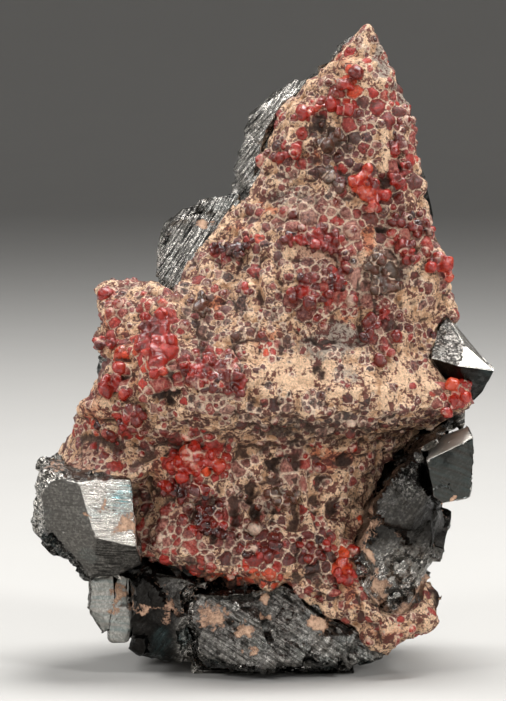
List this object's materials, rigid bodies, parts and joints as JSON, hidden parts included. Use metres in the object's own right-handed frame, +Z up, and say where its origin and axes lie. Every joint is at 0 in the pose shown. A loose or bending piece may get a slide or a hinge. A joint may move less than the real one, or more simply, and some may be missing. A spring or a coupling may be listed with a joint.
{
  "type": "andradite garnets on hematite matrix",
  "caption": "Free-standing mineral specimen: a dark metallic crystal mass whose front is covered by a pale druse set with small red garnets, tapering to a point.",
  "frame": {"origin": "on the surface that the specimen stands on, under the middle of its bounding box", "axes": "+Z up to the point, -Y towards the viewer of the garnet-covered show face, +X to that viewer's right"},
  "size_m": [0.039, 0.0269, 0.0548],
  "materials": {
    "hematite": "steel-black metallic hematite, mirror-bright on crystal faces and matte on broken ones",
    "garnet_crust": "sugary tan druse of fine garnet dusted with clay and iron stain",
    "garnet_red": "glassy translucent orange-red andradite",
    "garnet_wine": "glassy wine-brown andradite with a pale dust",
    "garnet_grey": "dull grey-brown andradite"
  },
  "bodies": {
    "root": {"hematite_matrix": "hematite", "garnet_crust": "garnet_crust", "hematite_crystal_left": "hematite", "hematite_crystal_right": "hematite", "hematite_crystal_lower_right": "hematite", "hematite_crystal_base": "hematite", "hematite_plate_outer": "hematite", "hematite_plate_inner": "hematite", "hematite_blade_upper_left": "hematite", "garnets_tip": "garnet_red", "garnets_tip_left": "garnet_red", "garnets_upper_dark": "garnet_grey", "garnets_upper_left": "garnet_wine", "garnets_upper_edge": "garnet_wine", "garnets_upper_red": "garnet_red", "garnet_grey_bead": "garnet_grey", "garnets_edge_beads": "garnet_wine", "garnets_right_column": "garnet_wine", "garnets_right_wine": "garnet_wine", "garnets_right_red": "garnet_red", "garnets_grey_knot": "garnet_grey", "garnets_dome_top": "garnet_wine", "garnets_dome_foot": "garnet_wine", "garnets_left_row": "garnet_wine", "garnets_middle_grey": "garnet_grey", "garnet_middle_dark": "garnet_wine", "garnets_red_ridge": "garnet_red", "garnets_wine_ridge": "garnet_wine", "garnet_left_knob": "garnet_red", "garnets_left_pair": "garnet_wine", "garnets_left_bead": "garnet_red", "garnets_left_wine": "garnet_wine", "garnets_left_low": "garnet_wine", "garnets_red_knot": "garnet_red", "garnets_low_wine": "garnet_wine", "garnets_low_pink": "garnet_wine", "garnets_low_dark_left": "garnet_wine", "garnets_low_dark_right": "garnet_wine", "garnets_low_orange": "garnet_red", "garnets_low_grey": "garnet_grey", "garnets_right_low_wine": "garnet_wine", "garnets_right_low_red": "garnet_wine", "garnets_spike": "garnet_red"}
  },
  "joints": []
}
